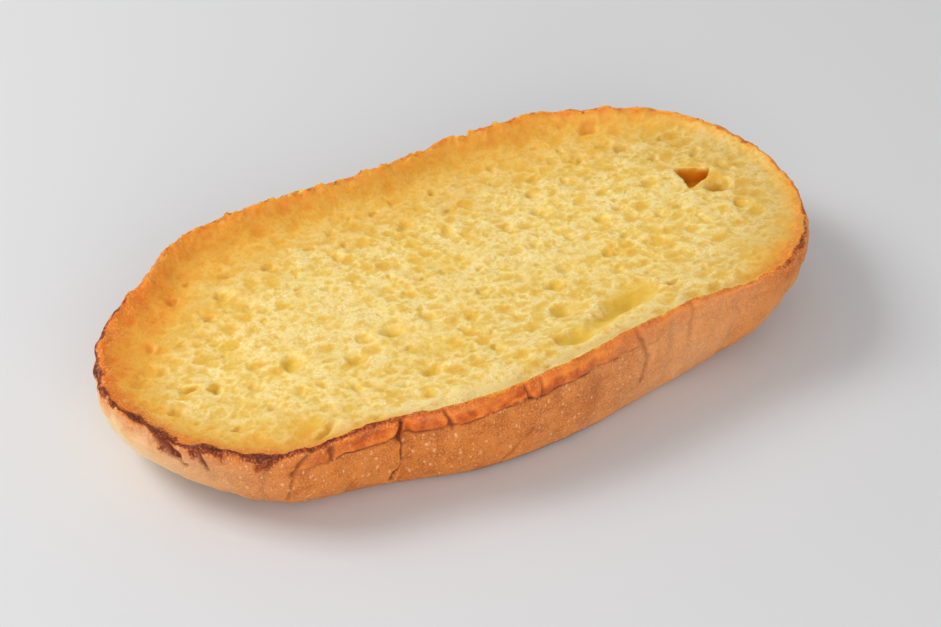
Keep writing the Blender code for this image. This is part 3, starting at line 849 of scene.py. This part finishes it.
# ---------------------------------------------------------------- material
class Paint:
    """A material's nodes.  Each method adds a node and returns its output."""

    def __init__(self, name):
        self.material = bpy.data.materials.new(name)
        self.material.use_nodes = True
        self.tree = self.material.node_tree
        self.shader = self.tree.nodes["Principled BSDF"]
        self.place = self.tree.nodes.new("ShaderNodeTexCoord").outputs["Object"]

    def add(self, kind, inputs, **settings):
        """A node with its settings, and with numbers or other nodes' outputs as its inputs."""
        node = self.tree.nodes.new(kind)
        for key, value in settings.items():
            setattr(node, key, value)
        for key, value in inputs.items():
            if isinstance(value, bpy.types.NodeSocket):
                self.tree.links.new(value, node.inputs[key])
            else:
                node.inputs[key].default_value = value
        return node

    def mask(self, name):
        """One of the mesh's attributes."""
        return self.add("ShaderNodeAttribute", {}, attribute_name=name).outputs["Fac"]

    def noise_node(self, grain, detail):
        inputs = {"Vector": self.place, "Scale": 1 / grain, "Detail": detail}
        return self.add("ShaderNodeTexNoise", inputs)

    def noise(self, grain, detail=3.0):
        """Noise with bumps as wide as the grain, in metres."""
        return self.noise_node(grain, detail).outputs["Fac"]

    def swirled(self, grain, reach):
        """The place, pushed about by noise."""
        push = self.noise_node(grain, 2.0).outputs["Color"]
        inputs = {0: push, 1: (reach, reach, reach), 2: self.place}
        return self.add("ShaderNodeVectorMath", inputs, operation="MULTIPLY_ADD").outputs[0]

    def bubbles(self, place, grain, smallest, largest):
        """Round hollows of random size: 1 in the middle of each and 0 outside."""
        node = self.add("ShaderNodeTexVoronoi", {"Vector": place, "Scale": 1 / grain})
        size = self.add("ShaderNodeSeparateColor", {0: node.outputs["Color"]}).outputs[0]
        radius = self.remap(size, 0.0, 1.0, smallest, largest)
        share = self.math("DIVIDE", node.outputs["Distance"], radius)
        inputs = {"Value": share, "From Min": 1.0, "From Max": 0.0}
        return self.add("ShaderNodeMapRange", inputs, interpolation_type="SMOOTHSTEP").outputs[0]

    def remap(self, value, low, high, to_low=0.0, to_high=1.0):
        """Carry low to high over into to_low to to_high, and hold what is past them."""
        inputs = {"Value": value, "From Min": low, "From Max": high,
                  "To Min": to_low, "To Max": to_high}
        return self.add("ShaderNodeMapRange", inputs).outputs[0]

    def wave(self, noise, to_low, to_high):
        """Noise, spread from to_low to to_high."""
        return self.remap(noise, 0.3, 0.7, to_low, to_high)

    def math(self, operation, first, second=0.0):
        return self.add("ShaderNodeMath", {0: first, 1: second}, operation=operation).outputs[0]

    def times(self, first, second):
        return self.math("MULTIPLY", first, second)

    def plus(self, first, second):
        return self.math("ADD", first, second)

    def mix(self, share, first, second):
        """Mix two colours."""
        inputs = {"Factor": share, 6: first, 7: second}
        return self.add("ShaderNodeMix", inputs, data_type="RGBA", clamp_factor=True).outputs[2]

    def coat(self, colour, new, cover, low, high, most=1.0):
        """Lay a new colour on, from nothing where the cover is low to most where it is high."""
        return self.mix(self.remap(cover, low, high, 0.0, most), colour, new)

    def blend(self, share, first, second):
        """Mix two numbers."""
        inputs = {"Factor": share, 2: first, 3: second}
        return self.add("ShaderNodeMix", inputs, data_type="FLOAT", clamp_factor=True).outputs[0]

    def connect(self, name, value):
        """Give an input of the shader its number, colour or node output."""
        if isinstance(value, bpy.types.NodeSocket):
            self.tree.links.new(value, self.shader.inputs[name])
        else:
            self.shader.inputs[name].default_value = value


def linear(value):
    """Linear share of an sRGB value of 0 to 255."""
    share = value / 255
    if share <= 0.04045:
        return share / 12.92
    return ((share + 0.055) / 1.055) ** 2.4


def rgb(red, green, blue):
    """Linear colour from sRGB values of 0 to 255."""
    return linear(red), linear(green), linear(blue), 1.0


CRUMB_PALE = rgb(242, 217, 146)
CRUMB_YELLOW = rgb(234, 197, 98)
CRUMB_GOLD = rgb(228, 170, 46)
HOLE_GOLD = rgb(232, 188, 44)
# Painted shade of the crumb towards the rim
CRUMB_PAINTED_SHADE = rgb(196, 148, 66)
HOLE_PAINTED_SHADE = rgb(222, 148, 30)
# Colour of the painted glints, highlights of the moist crumb
PAINTED_GLINT = rgb(252, 242, 206)
PAINTED_SPARKLE = rgb(252, 206, 140)
TOAST_GOLD = rgb(230, 176, 66)
TOAST_ORANGE = rgb(228, 132, 34)
CRUST_TAN = rgb(213, 130, 58)
CRUST_BROWN = rgb(174, 90, 34)
CRUST_PALE = rgb(255, 214, 160)
FRINGE_GOLD = rgb(232, 150, 60)
GLAZE_GOLD = rgb(234, 144, 56)
GLAZE_ORANGE = rgb(226, 118, 36)
GLAZE_RED = rgb(180, 74, 20)
SPECK = rgb(246, 214, 168)
SINGED = rgb(216, 114, 38)
CRACK_SHADE_BROWN = rgb(124, 48, 16)
BURNT_RED = rgb(150, 66, 26)
BURNT_BROWN = rgb(88, 38, 18)

# Width of the bumps of each noise in the paint
CRISP_GRAIN = 0.55 * MM
GRIT_GRAIN = 0.7 * MM
FINE_GRAIN = 0.9 * MM
FOAM_GRAIN = 1.4 * MM
SWIRL_GRAIN = 2.0 * MM
SWIRL_REACH = 1.0 * MM
DOT_GRAIN = 1.0 * MM
FLECK_GRAIN = 1.9 * MM
BLOTCH_GRAIN = 2.6 * MM
GLAZE_GRAIN = 4 * MM
RAGGED_EDGE_GRAIN = 3 * MM
MOTTLE_GRAIN = 7 * MM
BROAD_MOTTLE_GRAIN = 22 * MM
PAINTED_GLINT_GRAIN = 9 * MM

# Surface: bumps, softness inside, shine
BUMP_STRENGTH = 0.45
BUMP_HEIGHT = 0.3 * MM
SOFT_WEIGHT = 0.8
SOFT_RADIUS = (1.0, 0.6, 0.2)
SOFT_SCALE = 3.2 * MM
SHINE = 0.22
GLAZE_ROUGHNESS = 0.3


def crumb_colour(paint, foam, fine, crisp):
    """The soaked crumb: pale walls, golden hollows that are partly its own tone and partly painted
    shade, painted glints, painted shade towards the rim and in the big hole, and orange where it is
    toasted.
    """
    toast = paint.mask("toast")
    hole = paint.mask("hole")
    depth = paint.plus(paint.mask("pore"), paint.times(foam, 0.3))
    depth = paint.plus(depth, paint.wave(fine, 0.26, -0.2))
    # Hollows painted deeper gold: partly the soaked crumb's own tone, partly painted shade in the
    # hollows
    colour = paint.coat(CRUMB_PALE, CRUMB_YELLOW, depth, 0.0, 0.55)
    colour = paint.coat(colour, CRUMB_GOLD, depth, 0.5, 1.15, 0.6)
    # Painted highlights: whitish glints for the moist crumb's shine, in patches, on the walls and
    # away from the toasted rim
    painted_glints = paint.remap(crisp, 0.52, 0.68, 0.0, 0.6)
    where = paint.remap(paint.noise(PAINTED_GLINT_GRAIN), 0.42, 0.62)
    painted_glints = paint.times(paint.times(painted_glints, where), paint.remap(depth, 0.55, 0.2))
    colour = paint.mix(paint.times(painted_glints, paint.remap(toast, 0.3, 0.05)), colour, PAINTED_GLINT)
    # Holes painted gold: partly the crumb's own tone, partly painted shade inside them
    colour = paint.coat(colour, HOLE_GOLD, hole, 0.05, 0.7, 0.8)
    # Painted shade: the crumb is darker towards the rim, where less light falls
    colour = paint.mix(paint.times(paint.mask("painted_shade"), 0.34), colour, CRUMB_PAINTED_SHADE)
    # Toasted hollows and holes are painted more orange: partly toasting, partly painted shade
    toasted = paint.times(toast, paint.remap(paint.plus(depth, hole), 0.0, 1.0, 0.85, 1.4))
    colour = paint.coat(colour, TOAST_GOLD, toasted, 0.05, 0.5, 0.92)
    colour = paint.coat(colour, TOAST_ORANGE, toasted, 0.42, 1.0)
    # Painted shade: the floor of the big three-cornered hole is painted orange-brown
    return paint.coat(colour, HOLE_PAINTED_SHADE, paint.mask("deepest"), 0.03, 0.4)


def glaze_colour(paint, grain):
    """The glazed band: red in streaks, orange and a little gold."""
    flushed = paint.plus(paint.noise(GLAZE_GRAIN), paint.wave(grain, 0.035, -0.035))
    colour = paint.coat(GLAZE_GOLD, GLAZE_ORANGE, flushed, 0.28, 0.45)
    return paint.coat(colour, GLAZE_RED, flushed, 0.42, 0.62)


def crust_colour(paint, mottled, specks, grain):
    """The browned crust, with its glazed band, cracks with painted shade, and a pale underside that
    is partly painted light.
    """
    grainy = paint.plus(mottled, paint.wave(grain, 0.13, -0.19))
    blotches = paint.wave(paint.noise(BLOTCH_GRAIN, 2.0), -0.08, 0.06)
    grainy = paint.plus(grainy, paint.times(blotches, paint.mask("speckle")))
    colour = paint.coat(CRUST_TAN, CRUST_BROWN, grainy, 0.36, 0.66)
    # Pale underside: partly the crust's own tone, partly painted light at the left end
    colour = paint.mix(paint.mask("underside_and_painted_light"), colour, CRUST_PALE)
    glaze = glaze_colour(paint, grain)
    colour = paint.mix(paint.times(paint.mask("glaze"), 0.85), colour, glaze)
    # Fringe: partly toasted edge, partly painted light on the shaded back right rim
    colour = paint.mix(paint.times(paint.mask("fringe"), 0.8), colour, FRINGE_GOLD)
    # Painted shade: dark brown in the cracks and along the step at the foot of the glazed band
    colour = paint.coat(colour, CRACK_SHADE_BROWN, paint.mask("line"), 0.05, 0.65)
    colour = paint.coat(colour, SPECK, specks, 0.05, 0.7, 0.5)
    return paint.mix(paint.times(paint.mask("foot"), 0.85), colour, BURNT_BROWN)


def burnt_colour(paint, colour, crisp):
    """The singed halo with its painted sparkle highlights, and the burnt line of the rim, over the
    bread's own colour.
    """
    grit = paint.wave(paint.noise(GRIT_GRAIN, 2.0), -0.6, 0.6)
    singe = paint.mask("singe")
    singed = paint.times(singe, paint.plus(grit, 0.75))
    colour = paint.coat(colour, SINGED, singed, 0.1, 1.0, 0.85)
    # Painted highlights: pale sparkles on the singed halo
    painted_sparkles = paint.times(paint.remap(crisp, 0.54, 0.68, 0.0, 0.35), paint.remap(singe, 0.05, 0.4))
    colour = paint.mix(painted_sparkles, colour, PAINTED_SPARKLE)
    scorch = paint.times(paint.mask("burn"), paint.plus(grit, 1.0))
    colour = paint.coat(colour, BURNT_RED, scorch, 0.15, 0.6)
    return paint.coat(colour, BURNT_BROWN, scorch, 0.5, 1.2)


def crust_specks(paint, swirled):
    """Pale specks in the crust, a little taller than wide."""
    tall = paint.add("ShaderNodeMapping", {"Vector": swirled, "Scale": (1, 1, 0.6)}).outputs[0]
    flecks = paint.bubbles(tall, FLECK_GRAIN, 0.05, 0.42)
    dots = paint.bubbles(tall, DOT_GRAIN, 0.05, 0.45)
    specks = paint.math("MAXIMUM", flecks, paint.times(dots, 0.7))
    return paint.times(specks, paint.mask("speckle"))


def bread_bump(paint, crust, foam, fine, crisp, specks):
    """The finest relief, of the crumb and of the crust."""
    calm = paint.remap(paint.mask("hole"), 0.1, 0.8, 1.0, 0.25)
    rough = paint.plus(paint.times(fine, 0.7), paint.times(crisp, 0.4))
    crumb_bump = paint.times(paint.plus(paint.times(foam, -0.6), rough), calm)
    crust_bump = paint.plus(paint.times(crisp, 0.8), paint.times(specks, 0.4))
    height = paint.blend(crust, crumb_bump, crust_bump)
    inputs = {"Height": height, "Strength": BUMP_STRENGTH, "Distance": BUMP_HEIGHT}
    return paint.add("ShaderNodeBump", inputs).outputs[0]


def make_bread_material():
    """One material for the whole toast, which reads its masks."""
    paint = Paint("soaked_and_browned_bread")
    fine = paint.noise(FINE_GRAIN)
    crisp = paint.noise(CRISP_GRAIN, 1.0)
    swirled = paint.swirled(SWIRL_GRAIN, SWIRL_REACH)
    foam = paint.bubbles(swirled, FOAM_GRAIN, 0.2, 0.8)
    mottled = paint.plus(paint.times(paint.noise(MOTTLE_GRAIN), 0.6),
                         paint.times(paint.noise(BROAD_MOTTLE_GRAIN, 1.0), 0.4))
    specks = crust_specks(paint, swirled)

    ragged = paint.wave(paint.noise(RAGGED_EDGE_GRAIN), -0.3, 0.3)
    crust = paint.remap(paint.plus(paint.mask("crust"), ragged), 0.42, 0.58)
    colour = paint.mix(crust, crumb_colour(paint, foam, fine, crisp),
                       crust_colour(paint, mottled, specks, crisp))
    paint.connect("Base Color", burnt_colour(paint, colour, crisp))

    moist = paint.wave(fine, 0.3, 0.55)
    dry = paint.remap(mottled, 0.35, 0.65, 0.45, 0.65)
    roughness = paint.blend(crust, moist, dry)
    glazed = paint.times(paint.mask("glaze"), 0.8)
    paint.connect("Roughness", paint.blend(glazed, roughness, GLAZE_ROUGHNESS))

    paint.connect("Normal", bread_bump(paint, crust, foam, fine, crisp, specks))
    paint.connect("Subsurface Weight", SOFT_WEIGHT)
    paint.connect("Subsurface Radius", SOFT_RADIUS)
    paint.connect("Subsurface Scale", SOFT_SCALE)
    paint.connect("Specular IOR Level", SHINE)
    return paint.material


# ---------------------------------------------------------------- setting
CAMERA_AZIMUTH = math.radians(-32.034)
CAMERA_ELEVATION = math.radians(38.862)
CAMERA_ROLL = math.radians(0.828)
CAMERA_DISTANCE = 0.77953
CAMERA_TARGET = Vector((10.60 * MM, 8.89 * MM, 0.0))
CAMERA_LENS = 99.56
SENSOR_WIDTH = 36
FLOOR_COLOUR = rgb(214, 214, 215)
FLOOR_ROUGHNESS = 0.7
FLOOR_HALF = 2.0
FLOOR_GAP = 0.2 * MM
SKY_COLOUR = (1, 1, 1, 1)
SKY_STRENGTH = 0.5
# Name, place, size and power
LAMPS = (
    ("key", (-0.6, 0.55, 0.8), 0.5, 7.6),
    ("fill", (-0.35, -1.0, 0.35), 0.8, 6.5),
)


def add_camera():
    """A camera that looks at the target from an azimuth and an elevation."""
    level = math.cos(CAMERA_ELEVATION)
    back = Vector((math.sin(CAMERA_AZIMUTH) * level,
                   -math.cos(CAMERA_AZIMUTH) * level,
                   math.sin(CAMERA_ELEVATION)))
    right = (-back).cross(Vector((0, 0, 1))).normalized()
    up = right.cross(-back)
    tilted_right = math.cos(CAMERA_ROLL) * right + math.sin(CAMERA_ROLL) * up
    tilted_up = math.cos(CAMERA_ROLL) * up - math.sin(CAMERA_ROLL) * right
    camera = bpy.data.objects.new("camera", bpy.data.cameras.new("camera"))
    camera.data.lens = CAMERA_LENS
    camera.data.sensor_width = SENSOR_WIDTH
    camera.matrix_world = Matrix((tilted_right, tilted_up, back)).transposed().to_4x4()
    camera.matrix_world.translation = CAMERA_TARGET + back * CAMERA_DISTANCE
    bpy.context.scene.collection.objects.link(camera)
    bpy.context.scene.camera = camera


def add_lamp(name, place, size, power):
    """A square soft light that faces the toast."""
    light = bpy.data.lights.new(name, "AREA")
    light.size = size
    light.energy = power
    lamp = bpy.data.objects.new(name, light)
    lamp.location = place
    lamp.rotation_euler = (-Vector(place)).to_track_quat("-Z", "Y").to_euler()
    bpy.context.scene.collection.objects.link(lamp)


def add_floor():
    """A plain pale floor, a hair's breadth below the toast."""
    mesh = bpy.data.meshes.new("floor")
    half = FLOOR_HALF
    corners = [(-half, -half, 0), (half, -half, 0), (half, half, 0), (-half, half, 0)]
    mesh.from_pydata(corners, [], [(0, 1, 2, 3)])
    floor = bpy.data.objects.new("floor", mesh)
    floor.location.z = -FLOOR_GAP
    paint = Paint("pale_floor")
    paint.connect("Base Color", FLOOR_COLOUR)
    paint.connect("Roughness", FLOOR_ROUGHNESS)
    mesh.materials.append(paint.material)
    bpy.context.scene.collection.objects.link(floor)


def add_studio():
    """Soft light from a white sky and two lamps."""
    world = bpy.data.worlds.new("studio")
    world.use_nodes = True
    sky = world.node_tree.nodes["Background"].inputs
    sky["Color"].default_value = SKY_COLOUR
    sky["Strength"].default_value = SKY_STRENGTH
    bpy.context.scene.world = world
    for lamp in LAMPS:
        add_lamp(*lamp)
    bpy.context.scene.view_settings.view_transform = "Standard"


noise.seed_set(NOISE_SEED)
add_camera()
add_floor()
add_studio()
toast = make_toast()
toast.data.materials.append(make_bread_material())
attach(toast, "root")
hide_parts("french_toast")
